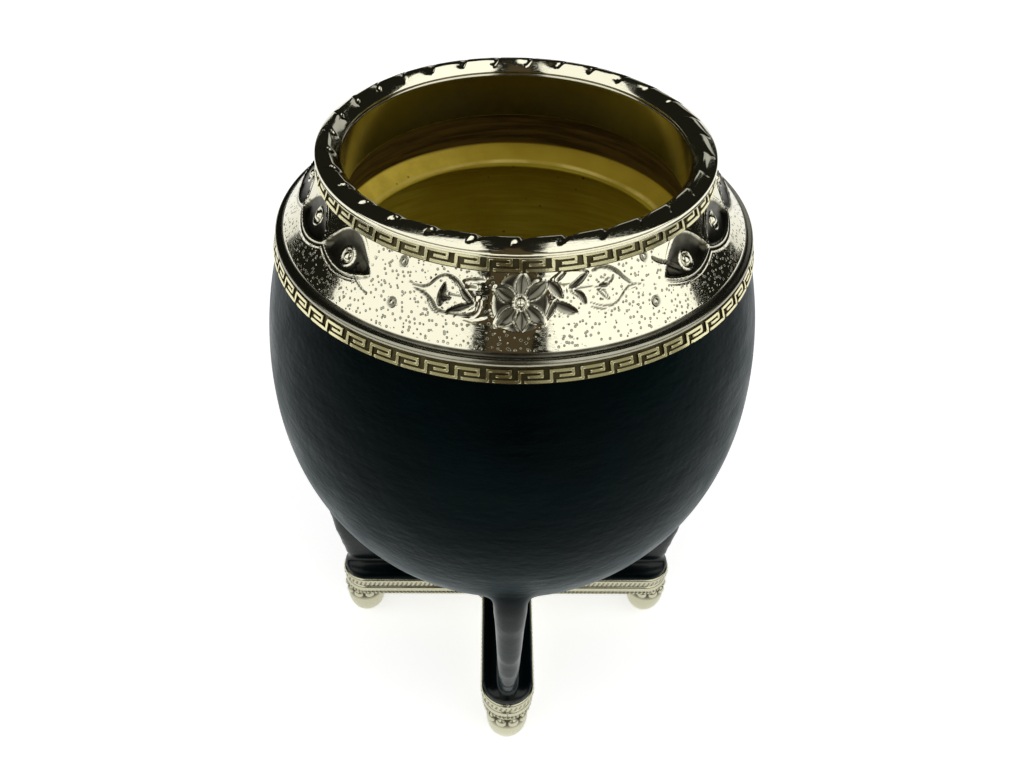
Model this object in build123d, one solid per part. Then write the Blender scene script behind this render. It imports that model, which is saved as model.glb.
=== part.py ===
from build123d import *
from math import sqrt
import os

# A mate cup: a calabash gourd in a leather cover, which stands on a leather-covered cross with
# a metal frame and ball feet, with a flared metal collar and a rolled rim round its mouth.
# Millimetres, +Z up. The origin is the middle of the footprint, on the table. One leg points
# to -Y, the front.

# ---- Stand: feet, metal frame and the leather-covered cross on it ----
LEGS = 4
FOOT_HEIGHT = 9.7
FOOT_RADIUS = 4.4
FOOT_FLAT_RADIUS = 1.3
FOOT_DOME_HEIGHT = 5.6  # from the table to where the foot's side is upright
FOOT_BAND_HEIGHT = 2.6  # at the foot's top
FOOT_BAND_BULGE = 0.35
FOOT_INSET = 4.7  # from an arm's tip to its foot's centre
ARM_REACH = 38.1  # from the axis to an arm's tip
ARM_WIDTH = 11.4
ARM_CROTCH_FILLET = 2.6
FRAME_HEIGHT = 5.5
FRAME_SHEET = 0.8
FRAME_UPPER_STRIP = 2.3
FRAME_GROOVE_HEIGHT = 0.6
FRAME_GROOVE_DEPTH = 0.45
FRAME_LOWER_INSET = 0.3  # the lower strip stands this far inside the upper one
PAD_HEIGHT = 2.0  # leather above the frame
PAD_INSET = 0.3
PAD_FILLET = 1.4

# ---- Webs that rise from the arms to the belly ----
WEB_SETBACK = 1.9  # from the arm's tip to the foot of the web
WEB_FOOT_SLOPE = 0.3  # how far the outer edge leans out at its foot, run over rise
WEB_FOOT_WIDTH = 2.4
WEB_TOP_WIDTH = 5.6
WEB_TOP_BELOW_MIDDLE = 24.0
WEB_EDGE_FILLET = 0.7

# ---- Body ----
BODY_CLEARANCE = 14.4  # from the cross to the bottom of the body
BODY_RADIUS = 45.0
BODY_LOWER_HEIGHT = 48.3  # from the bottom to the widest ring
BODY_UPPER_HEIGHT = 61.0  # half height of the ellipse that the shoulder follows
BODY_ROUNDNESS = 2.13  # exponent of the lower half
LEATHER = 1.5
GOURD_WALL = 4.6
FIT = 0.1  # between nested curved pieces

# ---- Collar, bands and rim ----
HEM_ABOVE_MIDDLE = 26.4  # from the widest ring to the collar's lower edge
COLLAR_HEIGHT = 16.0  # from the hem to the rim
COLLAR_SHEET = 0.5
SKIRT_HEIGHT = 3.6  # the part of the collar that lies on the leather
LEATHER_TUCK = 2.6  # how far the leather reaches up under the skirt
FLARE_HOLLOW = 0.25
BEAD_RADIUS = 0.45
BAND_SHEET = 0.35
UPPER_BAND_HEIGHT = 1.9
UPPER_BAND_LEAN = 0.7  # how far the band's foot stands outside its top
MOUTH_RADIUS = 28.7
SLEEVE_SHEET = 0.6
SLEEVE_DEPTH = 8.5
COLLAR_TOP_WIDTH = 3.8  # from the mouth to the top of the flare
RIM_WIDTH = 4.2
RIM_THICKNESS = 2.6
RIM_RISE = 0.8  # from the collar's top to the middle of the rim's oval section

# ---- The gourd's neck and cut mouth, below the sleeve ----
NECK_WALL = 1.9  # outside the sleeve
NECK_TOP_GAP = 2.4  # below the collar's top
LEDGE_BELOW_SLEEVE = 7.2
LEDGE_SETBACK = 2.5  # the ledge's outer edge stands this far outside the mouth
LEDGE_DROP = 2.2
LIP_OVERHANG = 0.5  # the ledge's inner edge stands this far inside the mouth
LIP_THICKNESS = 1.4
SHOULDER_HEIGHT = 4.6  # from the belly's wall to the lip's underside

# ---- Heights that follow ----
FRAME_TOP_Z = FOOT_HEIGHT + FRAME_HEIGHT
PAD_TOP_Z = FRAME_TOP_Z + PAD_HEIGHT
BODY_MIDDLE_Z = PAD_TOP_Z + BODY_CLEARANCE + BODY_LOWER_HEIGHT
HEM_Z = BODY_MIDDLE_Z + HEM_ABOVE_MIDDLE
SKIRT_TOP_Z = HEM_Z + SKIRT_HEIGHT
LEATHER_TOP_Z = HEM_Z + LEATHER_TUCK
COLLAR_TOP_Z = HEM_Z + COLLAR_HEIGHT
FLARE_TOP_Z = COLLAR_TOP_Z - UPPER_BAND_HEIGHT - 2 * FIT
SLEEVE_FOOT_Z = COLLAR_TOP_Z - SLEEVE_DEPTH
LEDGE_Z = SLEEVE_FOOT_Z - LEDGE_BELOW_SLEEVE
LIP_Z = LEDGE_Z - LEDGE_DROP
FLARE_TOP_RADIUS = MOUTH_RADIUS + COLLAR_TOP_WIDTH

LOWER_SAMPLES = 9  # points along the body's outline below and above its widest ring
UPPER_SAMPLES = 4


def body_radius(z, inset=0.0):
    """Radius at a height of the surface that lies inset inside the body's outline."""
    rise = z - BODY_MIDDLE_Z
    if rise > 0:
        return (BODY_RADIUS - inset) * sqrt(1 - (rise / (BODY_UPPER_HEIGHT - inset)) ** 2)
    drop = min(1.0, -rise / (BODY_LOWER_HEIGHT - inset))
    return (BODY_RADIUS - inset) * (1 - drop**BODY_ROUNDNESS) ** (1 / BODY_ROUNDNESS)


def body_line(inset, top_z):
    """Outline from the lowest point, on the axis, up to top_z, level at its start."""
    depth = BODY_LOWER_HEIGHT - inset
    points = [(0, BODY_MIDDLE_Z - depth)]
    for step in range(1, LOWER_SAMPLES + 1):
        z = BODY_MIDDLE_Z - depth * (1 - (step / LOWER_SAMPLES) ** 2)
        points.append((body_radius(z, inset), z))
    for step in range(1, UPPER_SAMPLES + 1):
        z = BODY_MIDDLE_Z + (top_z - BODY_MIDDLE_Z) * step / UPPER_SAMPLES
        points.append((body_radius(z, inset), z))
    return Spline(*points)


def turned(*lines):
    """Solid of revolution whose half section, in (radius, height), the lines enclose."""
    return revolve(Plane.XZ * make_face(lines), Axis.Z)


def turned_polygon(*points):
    return turned(Polyline(*points, close=True))


def solid_body(inset, top_z):
    """Everything inside the body's outline, up to top_z."""
    line = body_line(inset, top_z)
    return turned(line, Polyline(line @ 1, (0, top_z), line @ 0))


def around_legs(piece):
    """One copy of a piece, made for the leg along +X, at each leg."""
    return [Rot(0, 0, 360 * leg / LEGS) * piece for leg in range(LEGS)]


# ---- Stand ----
def cross(inset):
    """Plan of the cross, inset all round: round-ended arms with filleted crotches."""
    width = ARM_WIDTH - 2 * inset
    reach = ARM_REACH - inset
    arm = Pos(reach / 2 - width / 4, 0) * Rectangle(reach - width / 2, width)
    tip = Pos(reach - width / 2, 0) * Circle(width / 2)
    plan = Sketch() + around_legs(arm) + around_legs(tip)
    crotches = [v for v in plan.vertices() if Vector(v.X, v.Y).length < width]
    return fillet(crotches, ARM_CROTCH_FILLET + inset)


def cross_slab(inset, low_z, high_z):
    return extrude(Pos(0, 0, low_z) * cross(inset), high_z - low_z)


def foot():
    """Dome with a flat spot below and, under the frame, the band that its egg beads sit on."""
    dome_middle = (FOOT_RADIUS * sqrt(0.5), FOOT_DOME_HEIGHT * (1 - sqrt(0.5)))
    dome = ThreePointArc((FOOT_FLAT_RADIUS, 0), dome_middle, (FOOT_RADIUS, FOOT_DOME_HEIGHT))
    band_foot_z = FOOT_HEIGHT - FOOT_BAND_HEIGHT
    band_foot = (FOOT_RADIUS, band_foot_z)
    band_middle = (FOOT_RADIUS + FOOT_BAND_BULGE, band_foot_z + FOOT_BAND_HEIGHT / 2)
    band_top = (FOOT_RADIUS, FOOT_HEIGHT)
    return turned(
        Polyline((0, FOOT_HEIGHT), (0, 0), dome @ 0),
        dome,
        Line(dome @ 1, band_foot),
        ThreePointArc(band_foot, band_middle, band_top),
        Line(band_top, (0, FOOT_HEIGHT)),
    )


def base_frame():
    """Metal tray in the shape of the cross, with a groove round its side."""
    groove_top_z = FRAME_TOP_Z - FRAME_UPPER_STRIP
    groove_foot_z = groove_top_z - FRAME_GROOVE_HEIGHT
    tray = cross_slab(0, groove_top_z, FRAME_TOP_Z)
    tray += cross_slab(FRAME_GROOVE_DEPTH, groove_foot_z, groove_top_z)
    tray += cross_slab(FRAME_LOWER_INSET, FOOT_HEIGHT, groove_foot_z)
    return tray - cross_slab(tray_inset(), FOOT_HEIGHT + FRAME_SHEET, FRAME_TOP_Z)


def tray_inset():
    """Of the tray's hollow, which leaves the sheet's thickness behind the groove."""
    return max(FRAME_GROOVE_DEPTH, FRAME_LOWER_INSET) + FRAME_SHEET


def leather_cross():
    """Leather over the frame, and the former under it that fills the tray."""
    pad = cross_slab(PAD_INSET, FRAME_TOP_Z, PAD_TOP_Z)
    rounding = min(PAD_FILLET, 0.8 * PAD_HEIGHT)
    pad = fillet(pad.faces().sort_by(Axis.Z)[-1].edges(), rounding)
    return pad + cross_slab(tray_inset() + FIT, FOOT_HEIGHT + FRAME_SHEET, FRAME_TOP_Z)


def web():
    """Upright web over the arm along +X, wider upwards, whose outer edge runs into the belly."""
    foot_radius = ARM_REACH - WEB_SETBACK
    top_z = BODY_MIDDLE_Z - WEB_TOP_BELOW_MIDDLE
    top_radius = body_radius(top_z)
    edge = Spline(
        (foot_radius, PAD_TOP_Z), (top_radius, top_z), tangents=[(WEB_FOOT_SLOPE, 1), (0, 1)]
    )
    side = make_face([edge, Polyline(edge @ 1, (0, top_z), (0, PAD_TOP_Z), edge @ 0)])
    plate = extrude(Plane.XZ * side, WEB_TOP_WIDTH, both=True)
    taper = Polyline(
        (-WEB_FOOT_WIDTH / 2, PAD_TOP_Z),
        (-WEB_TOP_WIDTH / 2, top_z),
        (WEB_TOP_WIDTH / 2, top_z),
        (WEB_FOOT_WIDTH / 2, PAD_TOP_Z),
        close=True,
    )
    plate &= extrude(Plane.YZ * make_face(taper), BODY_RADIUS)
    outside = plate.edges().filter_by(lambda edge: (edge @ 0.5).X > foot_radius)
    upright = outside.filter_by(lambda edge: edge.length > WEB_TOP_WIDTH)
    plate = fillet(upright, min(WEB_EDGE_FILLET, 0.4 * WEB_FOOT_WIDTH))
    sector = Polyline((0, 0), (BODY_RADIUS, BODY_RADIUS), (BODY_RADIUS, -BODY_RADIUS), close=True)
    plate &= extrude(make_face(sector), top_z)
    return plate - solid_body(-FIT, LEATHER_TOP_Z)


# ---- Body ----
def leather_cover():
    """Skin of the belly, up to its tucked edge under the collar."""
    return solid_body(0, LEATHER_TOP_Z) - solid_body(LEATHER, LEATHER_TOP_Z + LEATHER_TUCK)


def gourd():
    """Shell with a neck inside the collar and, below the sleeve, a ledge cut round its mouth."""
    outside = body_line(LEATHER + FIT, LEATHER_TOP_Z)
    neck_top_z = COLLAR_TOP_Z - NECK_TOP_GAP
    bore = MOUTH_RADIUS + SLEEVE_SHEET + FIT
    lip_radius = MOUTH_RADIUS - LIP_OVERHANG
    lip_foot = (lip_radius, LIP_Z - LIP_THICKNESS)
    wall_inset = LEATHER + FIT + GOURD_WALL
    inside = body_line(wall_inset, LIP_Z - LIP_THICKNESS - SHOULDER_HEIGHT)
    shoulder = Spline(inside @ 1, lip_foot, tangents=[inside % 1, (-1, 0.15)])
    return turned(
        outside,
        Polyline(
            outside @ 1,
            (bore + NECK_WALL, neck_top_z),
            (bore, neck_top_z),
            (bore, SLEEVE_FOOT_Z),
            (MOUTH_RADIUS + LEDGE_SETBACK, LEDGE_Z),
            (lip_radius, LIP_Z),
            lip_foot,
        ),
        shoulder,
        inside,
        Line(inside @ 0, outside @ 0),
    )


# ---- Collar ----
def skirt_radius(z):
    """Outside of the collar's skirt, on a straight line between its two ends."""
    share = (z - HEM_Z) / SKIRT_HEIGHT
    on_leather = (1 - share) * body_radius(HEM_Z) + share * body_radius(SKIRT_TOP_Z)
    return on_leather + FIT + COLLAR_SHEET


def collar():
    """Sheet that comes up from the hem, flares in to the rim and turns down as the sleeve."""
    flare_foot = Vector(skirt_radius(SKIRT_TOP_Z), SKIRT_TOP_Z)
    flare_top = Vector(FLARE_TOP_RADIUS, FLARE_TOP_Z)
    top_outside = (FLARE_TOP_RADIUS - UPPER_BAND_LEAN, COLLAR_TOP_Z)
    rise = flare_top - flare_foot
    inwards = Vector(-rise.Y, rise.X).normalized()
    middle = (flare_foot + flare_top) / 2 + inwards * FLARE_HOLLOW
    outside = ThreePointArc(flare_foot, middle, flare_top)
    through = Vector(-COLLAR_SHEET, 0)
    inside = ThreePointArc(flare_top + through, middle + through, flare_foot + through)
    sleeve_outside = MOUTH_RADIUS + SLEEVE_SHEET
    under_top_z = COLLAR_TOP_Z - COLLAR_SHEET
    hem = Vector(skirt_radius(HEM_Z), HEM_Z)
    shell = turned(
        Line(hem, flare_foot),
        outside,
        Polyline(
            flare_top,
            top_outside,
            (MOUTH_RADIUS, COLLAR_TOP_Z),
            (MOUTH_RADIUS, SLEEVE_FOOT_Z),
            (sleeve_outside, SLEEVE_FOOT_Z),
            (sleeve_outside, under_top_z),
            (top_outside[0] - COLLAR_SHEET, under_top_z),
            inside @ 0,
        ),
        inside,
        Polyline(inside @ 1, hem + through, hem),
    )
    bead_z = bead_height()
    bead = Plane.XZ * Pos(skirt_radius(bead_z), bead_z) * Circle(BEAD_RADIUS)
    return shell + (revolve(bead, Axis.Z) - solid_body(-FIT - COLLAR_SHEET / 2, COLLAR_TOP_Z))


def bead_height():
    return SKIRT_TOP_Z - BEAD_RADIUS / 2


def lower_band():
    """Raised band round the skirt, between the hem and the bead."""
    top_z = bead_height() - BEAD_RADIUS - FIT
    foot_radius = skirt_radius(HEM_Z) + FIT
    top_radius = skirt_radius(top_z) + FIT
    return turned_polygon(
        (foot_radius, HEM_Z),
        (foot_radius + BAND_SHEET, HEM_Z),
        (top_radius + BAND_SHEET, top_z),
        (top_radius, top_z),
    )


def upper_band():
    """Raised band round the top of the collar, just under the rim."""
    foot_z = FLARE_TOP_Z + FIT
    lean = UPPER_BAND_LEAN / (COLLAR_TOP_Z - FLARE_TOP_Z)
    foot_radius = FLARE_TOP_RADIUS + FIT - lean * FIT
    top_radius = foot_radius - lean * UPPER_BAND_HEIGHT
    return turned_polygon(
        (foot_radius, foot_z),
        (foot_radius + BAND_SHEET, foot_z),
        (top_radius + BAND_SHEET, foot_z + UPPER_BAND_HEIGHT),
        (top_radius, foot_z + UPPER_BAND_HEIGHT),
    )


def rim():
    """Rolled rim of oval section, flat where it sits on the collar."""
    middle = (MOUTH_RADIUS + RIM_WIDTH / 2, COLLAR_TOP_Z + RIM_RISE)
    oval = Pos(*middle) * Ellipse(RIM_WIDTH / 2, RIM_THICKNESS / 2)
    below = Pos(middle[0], COLLAR_TOP_Z - RIM_THICKNESS / 2) * Rectangle(RIM_WIDTH, RIM_THICKNESS)
    return revolve(Plane.XZ * (oval - below), Axis.Z)


# ---- All pieces, one file each ----
parts = {
    "gourd": gourd(),
    "leather_cover": leather_cover(),
    "leather_cross": leather_cross(),
    "collar": collar(),
    "upper_key_band": upper_band(),
    "lower_key_band": lower_band(),
    "rim": rim(),
    "base_frame": base_frame(),
}
feet = around_legs(Pos(ARM_REACH - FOOT_INSET, 0) * foot())
parts |= {f"foot_{number}": piece for number, piece in enumerate(feet, 1)}
parts |= {f"web_{number}": piece for number, piece in enumerate(around_legs(web()), 1)}

os.makedirs("parts", exist_ok=True)
for name, piece in parts.items():
    export_step(piece, f"parts/{name}.step")
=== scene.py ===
# %% [markdown]
# # A leather-covered mate cup
# A mate cup is a dried calabash with its top cut off. This one wears a skin of black leather, a
# flared collar of nickel silver round its mouth, and stands on a cross with four ball feet.
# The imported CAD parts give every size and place. Each cell below makes one piece or one finish,
# and each new piece stands in for the plain solid of the same name.

# %% Load the frame
import bpy
import bmesh
import numpy as np
from math import atan2, cos, degrees, pi, radians, sin, sqrt
from mathutils import Matrix, Vector


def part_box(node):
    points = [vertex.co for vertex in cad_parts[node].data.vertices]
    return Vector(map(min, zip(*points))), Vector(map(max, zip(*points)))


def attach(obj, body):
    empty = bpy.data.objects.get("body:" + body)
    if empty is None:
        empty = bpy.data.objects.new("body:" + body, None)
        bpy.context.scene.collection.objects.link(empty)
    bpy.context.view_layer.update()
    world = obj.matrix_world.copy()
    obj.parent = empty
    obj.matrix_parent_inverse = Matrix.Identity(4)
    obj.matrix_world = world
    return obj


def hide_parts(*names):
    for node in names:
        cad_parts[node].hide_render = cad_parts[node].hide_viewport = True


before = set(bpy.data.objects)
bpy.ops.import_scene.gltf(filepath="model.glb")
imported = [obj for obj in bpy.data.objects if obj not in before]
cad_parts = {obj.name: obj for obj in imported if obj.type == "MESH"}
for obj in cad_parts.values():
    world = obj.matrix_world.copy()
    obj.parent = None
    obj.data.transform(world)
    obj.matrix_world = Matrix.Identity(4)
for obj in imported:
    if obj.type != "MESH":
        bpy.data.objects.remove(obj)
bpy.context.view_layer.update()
print("CAD parts:", ", ".join(sorted(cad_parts)))

# %% [markdown]
# ## Sizes
# A turned piece is easiest to think of in millimetres, as a radius and a height, so the profiles
# below are written that way and turned into metres as they enter a mesh. Heights and radii come
# from the boxes of the CAD parts.

# %% Heights and radii, in millimetres
MM = 0.001


def foot_and_top(node):
    low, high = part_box(node)
    return low.z / MM, high.z / MM


def radius_of(node):
    low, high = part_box(node)
    return (high.x - low.x) / 2 / MM


COLLAR_FOOT_Z, COLLAR_TOP_Z = foot_and_top("collar")
SKIN_FOOT_Z, SKIN_TOP_Z = foot_and_top("leather_cover")
GOURD_TOP_Z = foot_and_top("gourd")[1]
FRAME_FOOT_Z, FRAME_TOP_Z = foot_and_top("base_frame")
PAD_TOP_Z = foot_and_top("leather_cross")[1]
RIM_TOP_Z = foot_and_top("rim")[1]
BODY_RADIUS = radius_of("leather_cover")
RIM_RADIUS = radius_of("rim")
ARM_REACH = radius_of("base_frame")
LOWER_DEPTH, UPPER_HEIGHT, FULLNESS = 48.3, 61.0, 2.13
WIDEST_Z = SKIN_FOOT_Z + LOWER_DEPTH
RIM_WIDTH = 4.2
MOUTH_RADIUS = RIM_RADIUS - RIM_WIDTH
print(f"body {BODY_RADIUS:.1f} mm in radius, mouth {MOUTH_RADIUS:.1f} mm")
print(f"rim at {RIM_TOP_Z:.1f} mm")


def body_radius(z, inset=0.0):
    """Radius of the belly at a height: fuller than a circle below, slimmer above."""
    rise = z - WIDEST_Z
    if rise > 0:
        return (BODY_RADIUS - inset) * sqrt(1 - (rise / (UPPER_HEIGHT - inset)) ** 2)
    drop = min(1.0, -rise / (LOWER_DEPTH - inset))
    return (BODY_RADIUS - inset) * (1 - drop**FULLNESS) ** (1 / FULLNESS)


# %% [markdown]
# ## Turning and finishing
# Most of this cup is turned: a half section is drawn once and spun about the upright axis. An
# eighth of the turn is spun finely and then repeated, which is much quicker than one long spin,
# and merging the doubles afterwards leaves no seam. Every finished piece stays at the origin, with
# its place in its mesh, and rides on the one body of the part.

# %% Lathe and finish
def everything(bm):
    return list(bm.verts) + list(bm.edges) + list(bm.faces)


def extrude_edges(bm, edges):
    """Extrudes edges, and gives back the new vertices and the new open edges."""
    made = bmesh.ops.extrude_edge_only(bm, edges=edges)["geom"]
    verts = [item for item in made if isinstance(item, bmesh.types.BMVert)]
    edges = [item for item in made if isinstance(item, bmesh.types.BMEdge) and item.is_boundary]
    return verts, edges


def bevel(bm, geometry, offset, affect, segments):
    bmesh.ops.bevel(
        bm,
        geom=geometry,
        offset=offset,
        offset_type="OFFSET",
        affect=affect,
        segments=segments,
        profile=0.5,
        material=-1,
        clamp_overlap=True,
    )


def lathe(section, steps, closed=False):
    """Spins a half section of (radius, height) points, from the axis or as a closed ring."""
    bm = bmesh.new()
    points = [bm.verts.new((r * MM, 0, z * MM)) for r, z in section]
    lines = [bm.edges.new(pair) for pair in zip(points, points[1:])]
    if closed:
        lines.append(bm.edges.new((points[-1], points[0])))
    axis = {"cent": (0, 0, 0), "axis": (0, 0, 1), "dvec": (0, 0, 0)}
    bmesh.ops.spin(bm, geom=points + lines, angle=pi / 4, steps=steps // 8, **axis)
    seven = {"angle": 7 * pi / 4, "steps": 7, "use_duplicate": True}
    bmesh.ops.spin(bm, geom=everything(bm), **seven, **axis)
    bmesh.ops.remove_doubles(bm, verts=bm.verts, dist=1e-7)
    bmesh.ops.recalc_face_normals(bm, faces=bm.faces)
    return bm


def new_object(bm, name):
    mesh = bpy.data.meshes.new(name)
    bm.to_mesh(mesh)
    bm.free()
    made = bpy.data.objects.new(name, mesh)
    bpy.context.collection.objects.link(made)
    return made


def finish(bm, name, material, slot, *stands_for, smooth=True):
    """Makes the object, gives it its finish and puts it in place of plain CAD parts."""
    piece = new_object(bm, name)
    piece.data.materials.append(material)
    for face in piece.data.polygons:
        face.use_smooth = smooth
    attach(piece, "root")
    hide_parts(*stands_for)
    triangles = sum(len(face.vertices) - 2 for face in piece.data.polygons)
    print(f"{name}: {triangles} triangles")
    return piece


def read_points(mesh):
    flat = np.empty(len(mesh.vertices) * 3)
    mesh.vertices.foreach_get("co", flat)
    return flat.reshape(-1, 3) / MM


def write_points(mesh, points):
    mesh.vertices.foreach_set("co", (points * MM).ravel())
    mesh.update()


def store(piece, name, values):
    """Keeps one value for each vertex, which the finishes read by its name."""
    attribute = piece.data.attributes.new(name, "FLOAT", "POINT")
    attribute.data.foreach_set("value", np.asarray(values, np.float32))


def polar(points):
    """Radius of each point, and its turn from the front towards the right."""
    return np.hypot(points[:, 0], points[:, 1]), np.arctan2(points[:, 0], -points[:, 1])


def smoothstep(low, high, x):
    share = np.clip((x - low) / (high - low), 0, 1)
    return share * share * (3 - 2 * share)


print("lathe and bevel ready, all sizes in units of", MM, "m")

# %% [markdown]
# ## The camera
# The camera looks down into the cup from the front, tilted a touch. Its turn is built from plain
# rotations in order: level roll first, then the downward pitch, then the small turn to the side.

# %% Camera
CAMERA_PLACE = Vector((-3.72, -150.44, 201.40)) * MM
CAMERA_DOWN, CAMERA_ASIDE, CAMERA_ROLL = 0.71595, 0.02638, 0.02466

camera_data = bpy.data.cameras.new("camera")
camera_data.lens = 35.32
camera_data.sensor_width = 36
camera_data.clip_start = 0.01
camera = bpy.data.objects.new("camera", camera_data)
camera.matrix_world = (
    Matrix.Translation(CAMERA_PLACE)
    @ Matrix.Rotation(-CAMERA_ASIDE, 4, "Z")
    @ Matrix.Rotation(pi / 2 - CAMERA_DOWN, 4, "X")
    @ Matrix.Rotation(CAMERA_ROLL, 4, "Z")
)
bpy.context.collection.objects.link(camera)
bpy.context.scene.camera = camera
print(f"camera {degrees(CAMERA_DOWN):.0f} degrees above the cup")

# %% [markdown]
# ## Effects that several finishes share
# Cloudiness, hairline scratches and the dark colour in chased lines and recesses, part tarnish and
# part painted shade, turn up on more than one surface. Each is built once as a node group that
# gives out a value, a height or a colour, and is then placed in every material with its own
# settings.

# %% Small helpers for node trees
def feed(tree, socket, value):
    """Links an output to an input, or sets the input; a colour is three numbers."""
    if isinstance(value, bpy.types.NodeSocket):
        tree.links.new(value, socket)
    elif socket.type == "RGBA":
        socket.default_value = (*value, 1.0)
    else:
        socket.default_value = value


def node(tree, kind, inputs=None, **settings):
    made = tree.nodes.new(kind)
    for name, value in settings.items():
        setattr(made, name, value)
    for name, value in (inputs or {}).items():
        feed(tree, made.inputs[name], value)
    return made


def set_inputs(tree, made, **inputs):
    for label, value in inputs.items():
        feed(tree, made.inputs[label.replace("_", " ")], value)


def place(tree, group, **inputs):
    made = node(tree, "ShaderNodeGroup", node_tree=group)
    set_inputs(tree, made, **inputs)
    return made.outputs


def math(tree, operation, first, second):
    return node(tree, "ShaderNodeMath", {0: first, 1: second}, operation=operation).outputs[0]


def times(tree, first, second):
    return math(tree, "MULTIPLY", first, second)


def spread(tree, value, low, high, to_low=0.0, to_high=1.0):
    ends = {"From Min": low, "From Max": high, "To Min": to_low, "To Max": to_high}
    made = node(tree, "ShaderNodeMapRange", {"Value": value, **ends})
    made.interpolation_type = "SMOOTHSTEP"
    return made.outputs[0]


def blend_colours(tree, share, first, second):
    inputs = {0: share, 6: first, 7: second}
    return node(tree, "ShaderNodeMix", inputs, data_type="RGBA").outputs[2]


def noise(tree, where, scale, detail, roughness=0.5):
    inputs = {"Vector": where, "Scale": scale, "Detail": detail, "Roughness": roughness}
    return node(tree, "ShaderNodeTexNoise", inputs).outputs["Fac"]


def cells(tree, where, size, feature="F1"):
    inputs = {"Vector": where, "Scale": 1 / size}
    return node(tree, "ShaderNodeTexVoronoi", inputs, feature=feature).outputs["Distance"]


def stretched(tree, where, scale, turn=(0.0, 0.0, 0.0)):
    inputs = {"Vector": where, "Rotation": turn, "Scale": scale}
    return node(tree, "ShaderNodeMapping", inputs).outputs[0]


def stored(tree, name):
    return node(tree, "ShaderNodeAttribute", attribute_name=name).outputs["Fac"]


def raised(tree, height, distance):
    inputs = {"Height": height, "Distance": distance, "Strength": 1.0}
    return node(tree, "ShaderNodeBump", inputs).outputs["Normal"]


def new_group(name, inputs, outputs):
    tree = bpy.data.node_groups.new(name, "ShaderNodeTree")
    for label, kind, value in inputs:
        socket = tree.interface.new_socket(label, in_out="INPUT", socket_type=kind)
        if value is not None:
            socket.default_value = value
    for label, kind in outputs:
        tree.interface.new_socket(label, in_out="OUTPUT", socket_type=kind)
    return tree, node(tree, "NodeGroupInput").outputs, node(tree, "NodeGroupOutput").inputs


def empty_material(name):
    material = bpy.data.materials.new(name)
    material.use_nodes = True
    material.node_tree.nodes.clear()
    return material, material.node_tree


def new_material(name):
    """A Principled material, with the place on the object that its patterns read."""
    material, tree = empty_material(name)
    shader = node(tree, "ShaderNodeBsdfPrincipled")
    node(tree, "ShaderNodeOutputMaterial", {"Surface": shader.outputs["BSDF"]})
    return material, tree, shader, node(tree, "ShaderNodeTexCoord").outputs["Object"]


print("node helpers ready")

# %% Clouds: a slow change of value over a surface
VECTOR, FLOAT, COLOUR = "NodeSocketVector", "NodeSocketFloat", "NodeSocketColor"

clouds, given, result = new_group(
    "clouds",
    [("Place", VECTOR, None), ("Size", FLOAT, 0.01), ("Low", FLOAT, 0.0), ("High", FLOAT, 1.0)],
    [("Value", FLOAT)],
)
scale = math(clouds, "DIVIDE", 1.0, given["Size"])
drift = noise(clouds, given["Place"], scale, 4.0)
feed(clouds, result["Value"], spread(clouds, drift, 0.3, 0.7, given["Low"], given["High"]))


def cloudy(tree, where, size, low=0.0, high=1.0):
    return place(tree, clouds, Place=where, Size=size, Low=low, High=high)["Value"]


print("clouds give a value of 0 to 1 unless a finish asks for less")

# %% Hairlines: the fine scratches that polishing and use leave on metal
hairlines, given, result = new_group(
    "hairlines", [("Place", VECTOR, None), ("Depth", FLOAT, 1.0)], [("Height", FLOAT)]
)
total = None
for turn in ((0.3, 0.2, 0.4), (1.1, -0.5, 2.0), (-0.7, 0.9, 1.2)):
    turned = stretched(hairlines, given["Place"], (150.0, 9000.0, 9000.0), turn)
    line = spread(hairlines, noise(hairlines, turned, 1.0, 0.0), 0.66, 0.74)
    total = line if total is None else math(hairlines, "MAXIMUM", total, line)
feed(hairlines, result["Height"], times(hairlines, total, times(hairlines, given["Depth"], -1.0)))
print("hairlines run in three directions")

# %% Tarnish and painted shade: dark colour in chased lines, recesses and floors between raised parts
tarnish_and_shade, given, result = new_group(
    "tarnish_and_shade",
    [
        ("Place", VECTOR, None),
        ("Metal", COLOUR, (0.8, 0.8, 0.8, 1.0)),
        ("Dark", COLOUR, (0.05, 0.04, 0.02, 1.0)),
        ("Hollow", FLOAT, 0.0),
        ("Strength", FLOAT, 0.8),
    ],
    [("Colour", COLOUR), ("Mask", FLOAT)],
)
patches = cloudy(tarnish_and_shade, given["Place"], 0.0022, 0.93)
# Tarnish and painted shade: the Dark colour is mixed in as far as Hollow and Strength say.
kept = times(tarnish_and_shade, times(tarnish_and_shade, given["Hollow"], given["Strength"]), patches)
feed(tarnish_and_shade, result["Colour"], blend_colours(tarnish_and_shade, kept, given["Metal"], given["Dark"]))
feed(tarnish_and_shade, result["Mask"], kept)
print("node groups:", ", ".join(group.name for group in bpy.data.node_groups))
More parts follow.
